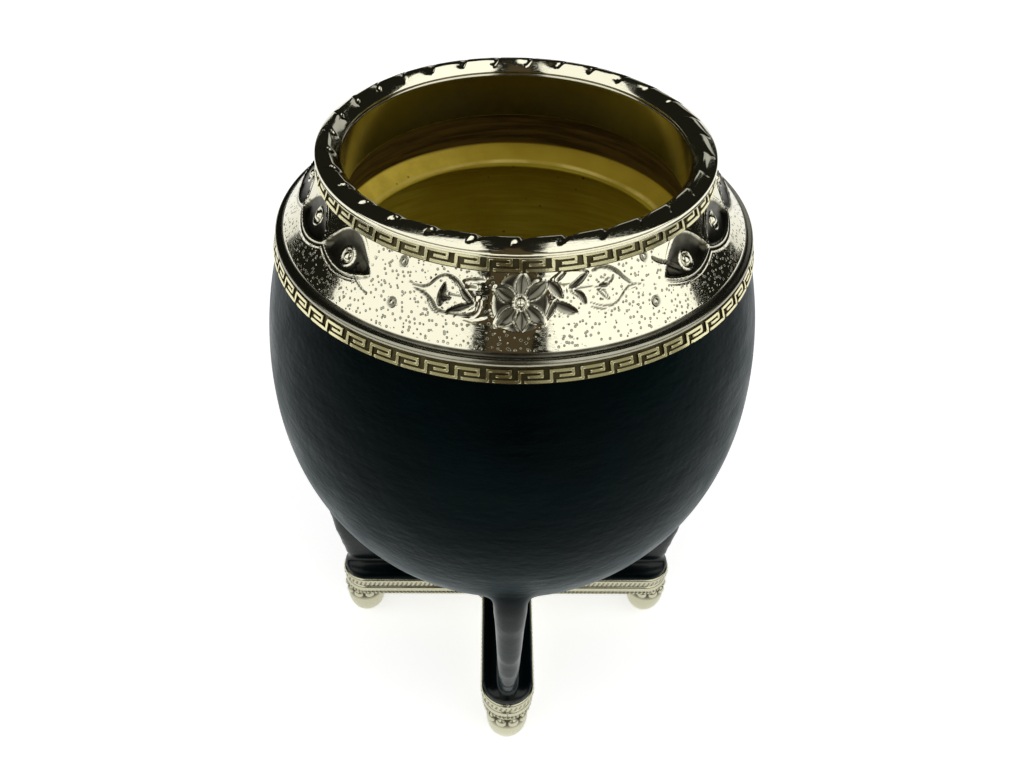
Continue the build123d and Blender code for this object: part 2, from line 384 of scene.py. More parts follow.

# %% [markdown]
# ## Nickel silver
# The collar, rim, bands and stand are nickel silver, a pale yellowish metal. The same alloy looks
# different on each: mirror bright on the collar, duller on the cast bands, satin on the stand.
# One function makes all of them. The chased pieces carry an attribute, hollow, that says how dark
# each point is painted: tarnish with painted shade in lines and recesses, and painted shade alone
# on some raised parts such as the petals and the roll. The collar also has a stippled ground:
# pits the size of a pin's head. A three-dimensional Voronoi pattern is cut by the surface at
# random depths, which gives pits of mixed sizes, and the attribute ground keeps them off the
# flowers.

# %% Nickel silver finishes
def nickel_silver(name, colour, dark, roughness, strength, pits=False, scratch=0.04):
    material, tree, shader, where = new_material(name)
    hollow = stored(tree, "hollow")
    height = place(tree, hairlines, Place=where, Depth=scratch)["Height"]
    if pits:
        pit = spread(tree, cells(tree, where, PIT_SIZE), 0.33, 0.23)
        pit = times(tree, pit, stored(tree, "ground"))
        height = math(tree, "SUBTRACT", height, times(tree, pit, 5.0))
        hollow = math(tree, "MAXIMUM", hollow, times(tree, pit, 0.6))
    # hollow brings in tarnish and painted shade, and the pits are darkened the same way.
    tarnish_and_shade_inputs = {"Metal": colour, "Dark": dark, "Hollow": hollow, "Strength": strength}
    tarnished_and_shaded = place(tree, tarnish_and_shade, Place=where, **tarnish_and_shade_inputs)
    satin = cloudy(tree, where, 0.006, *roughness)
    set_inputs(
        tree,
        shader,
        Base_Color=tarnished_and_shaded["Colour"],
        Metallic=1.0,
        Roughness=math(tree, "ADD", satin, times(tree, tarnished_and_shaded["Mask"], 0.25)),
        Normal=raised(tree, height, 0.00003),
    )
    return material


SILVER = (0.80, 0.775, 0.60)
PIT_SIZE = 0.00070
collar_silver = nickel_silver(
    "collar nickel silver", SILVER, (0.016, 0.014, 0.006), (0.05, 0.085), 1.0, pits=True
)
rim_silver = nickel_silver("rim nickel silver", SILVER, (0.03, 0.026, 0.012), (0.05, 0.09), 0.8)
band_silver = nickel_silver(
    "key band nickel silver",
    (0.80, 0.75, 0.45),
    (0.030, 0.023, 0.005),
    (0.15, 0.24),
    0.97,
    scratch=0.02,
)
stand_silver = nickel_silver(
    "stand nickel silver", (0.55, 0.54, 0.39), (0.05, 0.042, 0.015), (0.18, 0.30), 0.97
)
print("four finishes of one alloy")

# %% [markdown]
# ## Leather
# The skin is thin black leather, shrunk wet on to the gourd and left to dry. It has a very fine
# grain, a few long shallow wrinkles and a low gloss. Voronoi cells make the pebbles of the grain,
# and a stretched noise makes the wrinkles, which run round the belly. Leather has a faint nap,
# which a little cool sheen stands for. Where the skin was drawn tight over the webs it is shinier,
# so an attribute, drawn, gives it a thin coat there.

# %% Leather finish
leather, tree, shader, where = new_material("black leather")
pebbles = cells(tree, where, 0.0011, "SMOOTH_F1")
wrinkles = noise(tree, stretched(tree, where, (110.0, 110.0, 330.0)), 1.0, 6.0, 0.62)
dents = noise(tree, where, 90.0, 2.0)
height = math(tree, "ADD", times(tree, pebbles, 0.35), times(tree, wrinkles, 1.6))
height = math(tree, "ADD", height, times(tree, dents, 2.2))
shade = cloudy(tree, where, 0.02)
set_inputs(
    tree,
    shader,
    Base_Color=blend_colours(tree, shade, (0.0002, 0.0009, 0.0012), (0.0006, 0.0034, 0.0038)),
    Roughness=cloudy(tree, where, 0.008, 0.27, 0.38),
    Specular_IOR_Level=0.025,
    Specular_Tint=(0.62, 1.0, 0.97),
    Sheen_Weight=0.10,
    Sheen_Roughness=0.35,
    Sheen_Tint=(0.35, 0.90, 1.0),
    Coat_Weight=times(tree, stored(tree, "drawn"), 0.55),
    Coat_Roughness=0.22,
    Normal=raised(tree, height, 0.0001),
)
print("leather:", len(tree.nodes), "nodes")

# %% [markdown]
# ## Bare gourd
# Inside, the gourd is bare: scraped shell, ochre where the knife cut the ledge, olive in the
# belly.
# The neck wall is a brown cut wall painted darker still as painted shade, the ring under the mouth
# is painted pale as a painted highlight, and the ledge is painted brighter on its left as painted
# light. The height of a point says which part it belongs to. Scraping leaves fine marks that run
# round the axis, so their noise is squeezed in height. The fibres run outwards, so their noise is
# taken on the direction from the axis alone, and only their relief is used.

# %% Gourd finish
LEDGE_TOP_Z, LEDGE_FOOT_Z = 106.6, 104.4

gourd_shell, tree, shader, where = new_material("bare gourd shell")
axes = node(tree, "ShaderNodeSeparateXYZ", {0: where}).outputs


def between(first, last):
    """0 on one side of two heights in millimetres and 1 on the other."""
    return spread(tree, axes["Z"], first * MM, last * MM)


level = {0: where, 1: (1.0, 1.0, 0.0)}
outwards = node(tree, "ShaderNodeVectorMath", level, operation="MULTIPLY").outputs[0]
direction = node(tree, "ShaderNodeVectorMath", {0: outwards}, operation="NORMALIZE").outputs[0]
fibres = noise(tree, direction, 16.0, 6.0, 0.75)
scrapes = noise(tree, stretched(tree, where, (60.0, 60.0, 900.0)), 1.0, 5.0, 0.65)
on_neck_in_painted_shade = between(LEDGE_TOP_Z - 0.1, LEDGE_TOP_Z + 0.5)
on_ledge = between(LEDGE_FOOT_Z - 0.9, LEDGE_FOOT_Z - 0.5)
# Painted highlight: a pale ring on the rounded inner edge of the ledge.
on_highlight_ring = times(
    tree,
    between(LEDGE_FOOT_Z - 0.55, LEDGE_FOOT_Z - 0.25),
    between(LEDGE_FOOT_Z + 0.25, LEDGE_FOOT_Z - 0.05),
)
# Painted light: the ledge is made brighter towards its left.
painted_light_to_left = spread(tree, axes["X"], 0.004, -0.028)
mottled = times(tree, cloudy(tree, where, 0.005), 0.45)
broken_highlight = times(tree, on_highlight_ring, cloudy(tree, where, 0.006, 0.25))
patchy = cloudy(tree, where, 0.014, 0.0, 0.5)
scraped = spread(tree, scrapes, 0.35, 0.68)
specks = spread(tree, cells(tree, where, 0.004), 0.10, 0.04, 0.0, 0.7)
ledge = blend_colours(tree, painted_light_to_left, (0.44, 0.315, 0.018), (0.92, 0.69, 0.085))
ledge = blend_colours(tree, mottled, ledge, (0.36, 0.235, 0.012))
# The pale colour of the painted highlight on the ring.
ledge = blend_colours(tree, broken_highlight, ledge, (0.78, 0.62, 0.15))
belly = blend_colours(tree, scraped, (0.52, 0.42, 0.022), (0.66, 0.55, 0.060))
belly = blend_colours(tree, patchy, belly, (0.40, 0.27, 0.010))
# Painted shade: the neck wall gets a very dark brown.
neck = spread(tree, scrapes, 0.38, 0.62)
neck = blend_colours(tree, neck, (0.035, 0.018, 0.003), (0.085, 0.050, 0.008))
colour = blend_colours(tree, on_ledge, belly, ledge)
colour = blend_colours(tree, on_neck_in_painted_shade, colour, neck)
colour = blend_colours(tree, specks, colour, (0.07, 0.040, 0.010))
set_inputs(
    tree,
    shader,
    Base_Color=colour,
    Roughness=cloudy(tree, where, 0.01, 0.48, 0.66),
    Specular_IOR_Level=0.15,
    Normal=raised(tree, math(tree, "ADD", scrapes, times(tree, fibres, 0.15)), 0.00025),
)
print("materials:", ", ".join(material.name for material in bpy.data.materials))

# %% [markdown]
# ## The collar
# The collar is one sheet of metal: a short skirt that lies on the leather, a half-round roll, a
# flare that leans in towards the mouth, and a sleeve turned down inside. Its half section is drawn
# once as a closed ring and spun. The flare gets a row every fifth of a millimetre, because the
# chasing is moved into its surface afterwards.

# %% Section of the collar
FLARE_FOOT = np.array([39.28, COLLAR_FOOT_Z + 4.35])
FLARE_TOP = np.array([MOUTH_RADIUS + 3.8, COLLAR_TOP_Z - 2.1])
FLARE_HEIGHT = float(np.hypot(*(FLARE_TOP - FLARE_FOOT)))
FLARE_OUT = np.array([FLARE_TOP[1] - FLARE_FOOT[1], FLARE_FOOT[0] - FLARE_TOP[0]]) / FLARE_HEIGHT
FLARE_ROWS = 56
SHEET = 0.5
ROLL_RADIUS = 0.62
SLEEVE_FOOT_Z = COLLAR_TOP_Z - 8.5
HEM_RISE = 26.4


def on_flare(down, hollow=0.25):
    """Point on the flare, a share of the way down from its top."""
    dish = hollow * (1 - (2 * down - 1) ** 2)
    return FLARE_TOP + down * (FLARE_FOOT - FLARE_TOP) - dish * FLARE_OUT


def arc(middle, radius, first, last, count, flatten=1.0):
    turns = np.radians(np.linspace(first, last, count))
    return [(middle[0] + radius * cos(t), middle[1] + flatten * radius * sin(t)) for t in turns]


hem_radius = BODY_RADIUS * sqrt(1 - (HEM_RISE / UPPER_HEIGHT) ** 2) + 0.6
roll_middle = (hem_radius - 1.0, COLLAR_FOOT_Z + 3.08)
outside = [(hem_radius, COLLAR_FOOT_Z), (hem_radius - 0.45, COLLAR_FOOT_Z + 1.2)]
outside += [(hem_radius - 0.85, COLLAR_FOOT_Z + 2.4)]
outside += arc(roll_middle, ROLL_RADIUS, -50, 92, 9)
outside += [tuple(FLARE_FOOT + step) for step in ((0.52, -0.58), (0.24, -0.42), (0.08, -0.22))]
outside += [tuple(on_flare(1 - row / FLARE_ROWS)) for row in range(FLARE_ROWS + 1)]
top = [(FLARE_TOP[0] - 0.7, COLLAR_TOP_Z), (MOUTH_RADIUS + 0.3, COLLAR_TOP_Z)]
sleeve = [(MOUTH_RADIUS, COLLAR_TOP_Z - 0.3), (MOUTH_RADIUS, COLLAR_TOP_Z - 0.6)]
sleeve += [(MOUTH_RADIUS, COLLAR_TOP_Z - 0.3 - step * 2.6) for step in range(1, 4)]
sleeve += arc((MOUTH_RADIUS + 0.3, SLEEVE_FOOT_Z + 0.3), 0.3, 200, 340, 4)
back = [(MOUTH_RADIUS + 0.6, COLLAR_TOP_Z - SHEET), (FLARE_TOP[0] - 1.2, COLLAR_TOP_Z - SHEET)]
back += [tuple(on_flare(down) - (1.5, 0)) for down in (0.05, 0.5, 0.95)]
back += [(hem_radius - SHEET, COLLAR_FOOT_Z)]
collar_section = outside + top + sleeve + back
print(f"flare {FLARE_HEIGHT:.1f} mm from top to foot")
print(f"{len(collar_section)} points in the section")

# %% [markdown]
# ## Chasing
# The flowers, leaves, eyes and ring punches are chased: pushed and cut with small punches. Each
# point of the flare has two coordinates, the distance round from the front and the distance down
# from the top, both in millimetres, so a leaf is drawn as it would be on a flat strip. Each stroke
# raises or lowers the points near it. It also says how dark its lines are, and where the plain
# stippled ground may not go. The set of ornaments is worked twice, at the front and at the back.

# %% The chaser's strokes
UNROLL_RADIUS = 37.0
ROUND = pi * UNROLL_RADIUS
LINE_MARGIN = 1.5


class Strip:
    """The flare laid out flat: how high, how dark and how plain each point is."""

    def __init__(self, across, down):
        self.across = (across + ROUND / 2) % ROUND - ROUND / 2
        self.down = down
        self.height = np.zeros_like(down)
        self.hollow = np.zeros_like(down)
        self.ground = np.ones_like(down)


def ridge(distance, width):
    return np.exp(-((distance / width) ** 2))


def soft_line(points, rounds=3):
    """Rounds the corners of a line by cutting them off, a few times over."""
    points = np.array(points, float)
    for _ in range(rounds):
        first, second = points[:-1], points[1:]
        cut = np.stack([0.75 * first + 0.25 * second, 0.25 * first + 0.75 * second], 1)
        points = np.vstack([points[:1], cut.reshape(-1, 2), points[-1:]])
    return points


def near_line(strip, points):
    """Distance of every point from a line, and how far along the line the nearest place is."""
    points = soft_line(points)
    steps = np.hypot(*np.diff(points, axis=0).T)
    starts = np.concatenate([[0], np.cumsum(steps)])
    distance, share = np.full_like(strip.down, 99.0), np.zeros_like(strip.down)
    low, high = points.min(0) - LINE_MARGIN, points.max(0) + LINE_MARGIN
    near = (strip.across > low[0]) & (strip.across < high[0])
    near &= (strip.down > low[1]) & (strip.down < high[1])
    x, y = strip.across[near], strip.down[near]
    best, along = distance[near], share[near]
    for first, second, start, step in zip(points, points[1:], starts, steps):
        line = (second - first) / step
        at = np.clip((x - first[0]) * line[0] + (y - first[1]) * line[1], 0, step)
        away = np.hypot(x - first[0] - at * line[0], y - first[1] - at * line[1])
        closer = away < best
        best = np.where(closer, away, best)
        along = np.where(closer, (start + at) / starts[-1], along)
    distance[near], share[near] = best, along
    return distance, share


def cut_line(strip, points, width=0.2, depth=0.2, dark=0.95):
    """A V-shaped line that starts and ends thin."""
    distance, share = near_line(strip, points)
    swell = 0.45 + 0.55 * np.sin(pi * share) ** 0.5
    groove = np.clip(1 - distance / (1.45 * width * swell), 0, 1)
    strip.height -= depth * swell * groove
    strip.height += 0.05 * ridge(distance - 1.9 * width, 0.18)
    strip.hollow = np.maximum(strip.hollow, dark * smoothstep(0.15, 0.55, groove))
    strip.ground *= 1 - smoothstep(0.75, 0.35, distance)


def raise_line(strip, points, width=0.18, rise=0.25):
    """A rounded ridge that runs out at both ends."""
    distance, share = near_line(strip, points)
    line = ridge(distance, width) * np.sin(pi * share) ** 0.35
    strip.height += rise * line
    strip.hollow *= 1 - smoothstep(0.3, 0.7, line)
    strip.ground *= 1 - smoothstep(0.75, 0.35, distance)


def blade(strip, foot, tip, width, bend=0.0, fullness=0.8):
    """Along and across a leaf shape, and how far outside its outline each point lies."""
    line = np.subtract(tip, foot)
    length = np.hypot(*line)
    x, y = strip.across - foot[0], strip.down - foot[1]
    along = (x * line[0] + y * line[1]) / length**2
    inner = np.clip(along, 0, 1)
    beside = (y * line[0] - x * line[1]) / length - bend * 4 * inner * (1 - inner)
    half = width * np.sin(pi * inner**0.9) ** fullness
    past = np.maximum(np.maximum(-along, along - 1), 0) * length
    outer = np.hypot(np.maximum(np.abs(beside) - half, 0), past)
    return inner, beside / np.maximum(half, 0.02), outer


def cut_leaf(strip, foot, tip, width, bend=0.0, depth=0.32, fullness=0.7):
    """A leaf cut in with one slanting stroke: a steep side and a shallow side."""
    _, share, outer = blade(strip, foot, tip, width, bend, fullness)
    share = np.clip(share, -1, 1)
    groove = np.where(share > -0.35, (1 - share) / 1.35, (1 + share) / 0.65) * (outer == 0)
    strip.height -= depth * groove
    strip.height += 0.06 * ridge(outer, 0.22) * (outer > 0)
    dark = smoothstep(0.10, 0.0, outer) * (1 - 0.45 * ridge(share - 0.7, 0.35))
    strip.hollow = np.maximum(strip.hollow, dark)
    strip.ground *= 1 - smoothstep(0.7, 0.1, outer)


def swell_leaf(strip, foot, tip, width, bend=0.0, rise=0.22):
    """A smooth leaf pushed out of the sheet."""
    _, share, outer = blade(strip, foot, tip, width, bend)
    strip.height += rise * np.sqrt(np.clip(1 - share**2, 0, 1)) * (outer == 0)
    strip.ground *= 1 - smoothstep(0.6, 0.1, outer)


def away_from(strip, middle):
    return np.hypot(strip.across - middle[0], strip.down - middle[1])


def dome(away, radius):
    return np.sqrt(np.clip(1 - (away / radius) ** 2, 0, 1))


def ring_punch(strip, middle, radius=0.55):
    away = away_from(strip, middle)
    strip.height += 0.10 * ridge(away, radius * 0.5) - 0.20 * ridge(away - radius, 0.19)
    strip.hollow = np.maximum(strip.hollow, 0.9 * ridge(away - radius, 0.2))
    strip.ground *= 1 - smoothstep(radius + 0.7, radius + 0.2, away)


def flower(strip, middle, tips):
    """Folded petals with raised edges round a ringed button; petals and sunk ground in painted
    shade.
    """
    away = away_from(strip, middle)
    strip.height -= 0.20 * smoothstep(4.6, 3.6, away)
    # Tarnish and painted shade on the sunk ground round the flower.
    strip.hollow = np.maximum(strip.hollow, 0.96 * smoothstep(4.5, 3.5, away))
    strip.ground *= 1 - smoothstep(5.0, 4.3, away)
    for tip in tips:
        line = np.subtract(tip, middle)
        foot = middle + line * 0.85 / np.hypot(*line)
        _, share, outer = blade(strip, foot, tip, 1.05, 0.0, 0.75)
        inside = outer == 0
        fold = np.abs(share + 0.15)
        folded, edge = 0.02 + 0.40 * np.minimum(fold, 1), 0.42 * ridge(outer, 0.14)
        strip.height += np.where(inside, folded, edge)
        # Painted shade: each petal is painted dark, darkest along its fold, and its raised edge is
        # left bright.
        strip.hollow = np.where(inside, 0.80 + 0.17 * ridge(share + 0.15, 0.25), strip.hollow)
        strip.hollow *= 1 - 0.9 * ridge(outer, 0.16) * ~inside
    strip.height = np.where(away < 1.05, 0.16, strip.height)
    strip.height += 0.40 * dome(away, 0.55) + 0.26 * ridge(away - 0.92, 0.16)
    strip.hollow = np.where(away < 1.2, 0.85 * ridge(away - 0.66, 0.13), strip.hollow)


def eye(strip, middle):
    """A domed button in a ring, at the bottom of a bowl."""
    away = away_from(strip, middle)
    strip.height += 0.62 * dome(away, 0.85) + 0.20 * ridge(away - 1.32, 0.17)
    strip.height -= 0.12 * ridge(away - 1.02, 0.14)
    strip.hollow = np.where(away < 1.6, 0.8 * ridge(away - 1.03, 0.14), strip.hollow)


# %% [markdown]
# On both sides of the flowers, two strands cross like a plait. They make a chain of bowls, each
# with an eye in it. A strand is a narrow ribbon with a thin raised line on either edge.

# %% The plaited chain of eyes
EYE_PITCH, FIRST_CROSSING, CROSSING_DOWN = 12.4, 24.6, 5.2


def plait(strip):
    beyond = np.abs(strip.across) - FIRST_CROSSING
    swing = np.abs(np.sin(pi * np.clip(beyond, 0, None) / EYE_PITCH)) ** 0.85
    upper = CROSSING_DOWN - 5.0 * swing
    lower = CROSSING_DOWN + 1.6 * swing
    on = smoothstep(-0.2, 0.6, beyond)
    between = (strip.down - upper) / np.maximum(lower - upper, 0.05)
    bowl = np.clip(1 - (2 * between - 1) ** 2, 0, 1) * on
    strip.height -= 0.60 * bowl * smoothstep(0.0, 0.5, swing)
    strip.ground *= 1 - on * (strip.down < lower + 0.9)
    # The bowls are painted nearly black: painted shade and a painted dark reflection in each bowl.
    strip.hollow = np.maximum(strip.hollow, 0.97 * smoothstep(0.04, 0.22, bowl))
    for line, rise in ((upper, 0.20), (lower, 0.20), (lower + 0.8, 0.12), (upper - 0.8, 0.12)):
        near = ridge(strip.down - line, 0.20) * on
        strip.height += rise * near
        strip.hollow *= 1 - smoothstep(0.35, 0.8, near)
    gap = ridge(strip.down - lower - 0.4, 0.15) * on
    strip.hollow = np.maximum(strip.hollow, 0.7 * gap)
    places = (FIRST_CROSSING + 0.5 * EYE_PITCH, FIRST_CROSSING + 1.5 * EYE_PITCH, ROUND / 2)
    for place_on, down in zip(places, (4.6, 3.5, 3.5)):
        for side in (-1, 1):
            eye(strip, (side * place_on, down))


# %% [markdown]
# The same punches make the whole front: a six-petalled flower in the middle, a broad leaf with
# small cut leaves on its right, a tulip-shaped leaf on its left, and four ring punches outside
# them. Each line is a few points, (across, down), that the graver passes.

# %% The flower, the leaves and the ring punches
BROAD_TOP = [(12.0, 1.1), (13.2, 0.75), (14.8, 0.9), (16.4, 1.9), (17.3, 3.1)]
BROAD_FOOT = [(20.1, 4.7), (18.2, 4.2), (16.8, 4.9), (15.2, 6.4), (13.2, 6.4)]
BROAD_LEAF = (
    (cut_line, [*BROAD_TOP, (18.5, 4.2)], 0.24),
    (cut_line, [*BROAD_FOOT, (10.7, 5.3)], 0.13, 0.14),
    (cut_line, [(11.0, 6.0), (12.0, 6.5), (13.4, 6.8)], 0.13, 0.15),
    (cut_line, [(8.7, 3.05), (11.0, 3.15), (13.3, 3.4)], 0.10, 0.10),
    (cut_leaf, (12.7, 3.3), (14.4, 3.4), 0.36),
    (cut_line, [(13.5, 2.9), (14.2, 2.7), (14.8, 2.4)], 0.12),
    (cut_line, [(14.1, 3.4), (14.9, 3.1), (15.5, 2.3)], 0.17),
    (cut_line, [(12.3, 3.7), (12.9, 4.4), (13.9, 5.5)], 0.15),
    (cut_line, [(12.4, 3.7), (13.5, 4.0), (14.2, 5.5)], 0.11),
)
SMALL_LEAVES = (
    (swell_leaf, (5.3, 1.6), (10.2, 1.1), 1.0, 0.15, 0.14),
    (cut_line, [(5.9, 1.75), (6.7, 1.2), (7.5, 0.55)], 0.17),
    (cut_line, [(7.2, 0.5), (8.8, 0.3), (10.4, 0.6), (11.2, 1.1)], 0.2),
    (cut_leaf, (7.8, 3.05), (11.3, 0.9), 0.42, 0.22),
    (cut_leaf, (4.5, 1.7), (6.7, 4.3), 0.72, -0.15),
    (cut_leaf, (8.7, 3.35), (10.3, 5.6), 0.42, -0.28),
    (cut_line, [(7.9, 3.4), (9.0, 4.2), (10.1, 5.5)], 0.12),
    (cut_leaf, (5.3, 4.8), (8.8, 6.5), 0.78, 0.15),
    (cut_leaf, (5.9, 4.4), (4.1, 7.0), 0.36),
)
TULIP_EDGE = [(-17.6, 3.9), (-16.0, 4.3), (-14.2, 3.9), (-13.0, 2.2), (-11.0, 1.6), (-9.4, 2.4)]
TULIP_LEAF = (
    (cut_line, [*TULIP_EDGE, (-8.0, 4.2)], 0.17),
    (cut_line, [(-11.0, 1.95), (-9.8, 2.3), (-8.6, 3.4), (-7.2, 4.9)], 0.24),
    (cut_line, [(-16.5, 4.6), (-14.6, 5.0), (-13.2, 5.8), (-12.2, 7.1), (-10.0, 7.1)], 0.24),
    (cut_line, [(-13.9, 5.7), (-13.2, 6.9), (-11.8, 7.5)], 0.13),
    (cut_leaf, (-11.9, 6.4), (-11.6, 2.9), 0.68),
    (cut_leaf, (-12.2, 5.2), (-10.2, 4.9), 0.42),
    (cut_line, [(-11.0, 4.0), (-10.0, 4.5), (-8.9, 4.4)], 0.12),
    (cut_leaf, (-9.0, 3.5), (-6.7, 5.3), 0.46, 0.1),
    (cut_leaf, (-10.9, 7.15), (-6.7, 5.2), 0.50, -0.1),
    (cut_line, [(-10.2, 7.1), (-7.6, 7.1), (-6.1, 6.6), (-5.8, 4.8)], 0.2),
    (cut_line, [(-8.7, 2.2), (-7.4, 1.8), (-5.4, 1.7)], 0.15),
    (cut_line, [(-8.4, 3.2), (-7.3, 2.85), (-6.5, 2.9)], 0.15),
    (raise_line, [(-8.2, 7.4), (-6.5, 7.8), (-4.2, 7.2)]),
)
TENDRILS_AND_RINGS = (
    (cut_line, [(23.4, 1.7), (24.6, 2.7), (26.4, 3.4), (28.6, 5.2)], 0.22),
    (swell_leaf, (-28.4, 4.6), (-24.2, 7.9), 0.75, 0.3, 0.2),
    (cut_line, [(-28.0, 5.9), (-26.4, 7.3), (-24.1, 8.0)], 0.2),
    (ring_punch, (-19.4, 1.5)),
    (ring_punch, (-19.5, 7.7)),
    (ring_punch, (21.9, 0.95)),
    (ring_punch, (21.8, 7.9)),
)
STROKES = (*BROAD_LEAF, *SMALL_LEAVES, *TULIP_LEAF, *TENDRILS_AND_RINGS)
PETAL_TIPS = ((0.7, 0.6), (4.4, 1.7), (3.7, 7.7), (0.4, 8.6), (-3.2, 8.1), (-3.6, 2.6))


def chase(strip):
    plait(strip)
    flower(strip, np.array((0.3, 4.7)), PETAL_TIPS)
    for stroke, *sizes in STROKES:
        stroke(strip, *sizes)


print(f"{len(STROKES)} strokes round a flower of {len(PETAL_TIPS)} petals")

# %% [markdown]
# Now the sheet itself: the section is spun, the points of the flare are found by how near they lie
# to its outside, the strip is chased, and its heights move those points along the flare's own
# outward direction. A faint unevenness, as from hammering, is added to the height, because a
# perfectly true mirror would look like glass.

# %% Spin the collar and move its points
def collar():
    bm = lathe(collar_section, 1120, closed=True)
    piece = finish(bm, "collar_sheet", collar_silver, "polished_metal", "collar")
    points = read_points(piece.data)
    z = points[:, 2]
    radius, turn = polar(points)
    from_top = np.stack([radius, z], axis=1) - FLARE_TOP
    down = from_top @ (FLARE_FOOT - FLARE_TOP) / FLARE_HEIGHT
    stand = from_top @ FLARE_OUT
    share = np.clip(down / FLARE_HEIGHT, 0, 1)
    face = np.abs(stand + 0.25 * (1 - (2 * share - 1) ** 2)) < 0.1
    face &= (down > -0.01) & (down < FLARE_HEIGHT + 0.01)
    down, turn = down[face], turn[face]
    strip = Strip(UNROLL_RADIUS * turn, down)
    chase(strip)
    hammered = np.sin(turn * UNROLL_RADIUS / 1.9 + 1.3 * np.sin(down / 1.7))
    hammered *= np.sin(down / 1.35 + 1.1 * np.sin(turn * UNROLL_RADIUS / 2.6))
    strip.height += 0.010 * hammered
    strip.ground *= smoothstep(0.3, 0.8, down) * smoothstep(11.6, 11.1, down)
    held = smoothstep(0.0, 0.35, down) * smoothstep(FLARE_HEIGHT, FLARE_HEIGHT - 0.5, down)
    x, y = np.sin(turn) * FLARE_OUT[0], -np.cos(turn) * FLARE_OUT[0]
    outwards = np.stack([x, y, np.full_like(turn, FLARE_OUT[1])], axis=1)
    points[face] += outwards * (strip.height * held)[:, None]
    write_points(piece.data, points)
    hollow, ground = np.zeros((2, len(points)))
    hollow[face], ground[face] = np.clip(strip.hollow, 0, 1), np.clip(strip.ground, 0, 1)
    # Painted shade inside the mouth: the sleeve is darkened more the deeper it goes.
    inside = (radius < MOUTH_RADIUS + 0.05) & (z < COLLAR_TOP_Z - 0.25)
    hollow[inside] = 0.30 + 0.06 * (COLLAR_TOP_Z - z[inside])
    # Painted shade in the cove above the roll, and on the roll itself.
    skirt = ~face & (radius > FLARE_FOOT[0] - 0.02)
    hollow[skirt & (z > roll_middle[1] + 0.4)] = 0.97
    hollow[skirt & (np.abs(z - roll_middle[1]) < 0.7)] = 0.60
    store(piece, "hollow", hollow)
    store(piece, "ground", ground)
    print(f"chased {face.sum()} points")
    print(f"heights from {strip.height.min():.2f} to {strip.height.max():.2f} mm")
    return piece


collar()

# %% [markdown]
# ## Rolled rim
# The rim is an oval roll with a flat underside and a fine bead at its outer foot. Slanting nicks
# cut across its crest and inner side make it look like a rope. They are cut by moving the points
# of a finely spun ring: each nick is steep on one side and runs out slowly on the other.

# %% Rim
NICKS, NICK_DEPTH, NICK_SLANT = 31, 0.45, 0.55
STEPS_PER_NICK = 24


def rim():
    outer, inner = MOUTH_RADIUS + RIM_WIDTH, MOUTH_RADIUS
    corners = [(outer - 0.42, 0.0), (outer - 0.02, 0.38), (outer - 0.06, 0.95)]
    corners += [(outer - 0.35, 1.22), (outer - 1.65, 1.98), (outer - 2.35, 2.15)]
    corners += [(inner + 1.30, 1.88), (inner + 0.08, 0.42), (inner, 0.12), (inner + 0.3, 0.0)]
    corners = [(radius, COLLAR_TOP_Z + height) for radius, height in corners]
    section = [tuple(point) for point in soft_line(corners, 2)]
    section += arc((outer - 0.34, COLLAR_TOP_Z + 0.10), 0.27, -140, 20, 6)
    bm = lathe(section, STEPS_PER_NICK * NICKS, closed=True)
    piece = finish(bm, "rolled_rim", rim_silver, "polished_metal", "rim")
    points = read_points(piece.data)
    radius, turn = polar(points)
    height = points[:, 2] - COLLAR_TOP_Z
    across = (outer - radius) / RIM_WIDTH
    phase = NICKS * turn / (2 * pi) - NICK_SLANT * (across - 0.5)
    phase = (phase + 0.5) % 1 - 0.5
    steep, slow = ridge(phase, 0.05), ridge(phase, 0.24)
    nick = np.where(phase < 0, steep, 0.6 * slow + 0.4 * steep)
    reach = 0.50 - 0.20 * ridge(phase, 0.12)
    where_cut = smoothstep(reach - 0.10, reach + 0.06, across) * smoothstep(0.86, 0.70, across)
    where_cut *= smoothstep(0.5, 1.0, height)
    depth = NICK_DEPTH * nick * where_cut
    points[:, :2] *= (1 + 0.55 * depth / radius)[:, None]
    points[:, 2] -= depth
    write_points(piece.data, points)
    # Tarnish and painted shade in the bottoms of the nicks.
    store(piece, "hollow", 0.8 * smoothstep(0.8, 1.0, nick) * where_cut)
    return piece


rim()

# %% [markdown]
# ## Key bands
# Two narrow bands carry a running key: every unit is a line that rises, runs along the top, turns
# down and comes back, while the next line starts below it. A band starts as a grid whose cells
# match the pattern, bent round and welded at its two ends. The raised cells are extruded and their
# edges bevelled, which gives each bar a line of light, and the back is closed.

# %% Key bands
KEY = (
    "1.11111111",
    "1.........",
    "1..11111..",
    "1......1..",
    "11111111..",
)


ROW_EDGES = (0.0, 0.07, 0.25, 0.38, 0.55, 0.68, 0.86, 1.0)
BAR_ROUNDING, BAND_THICKNESS = 0.11, 0.25


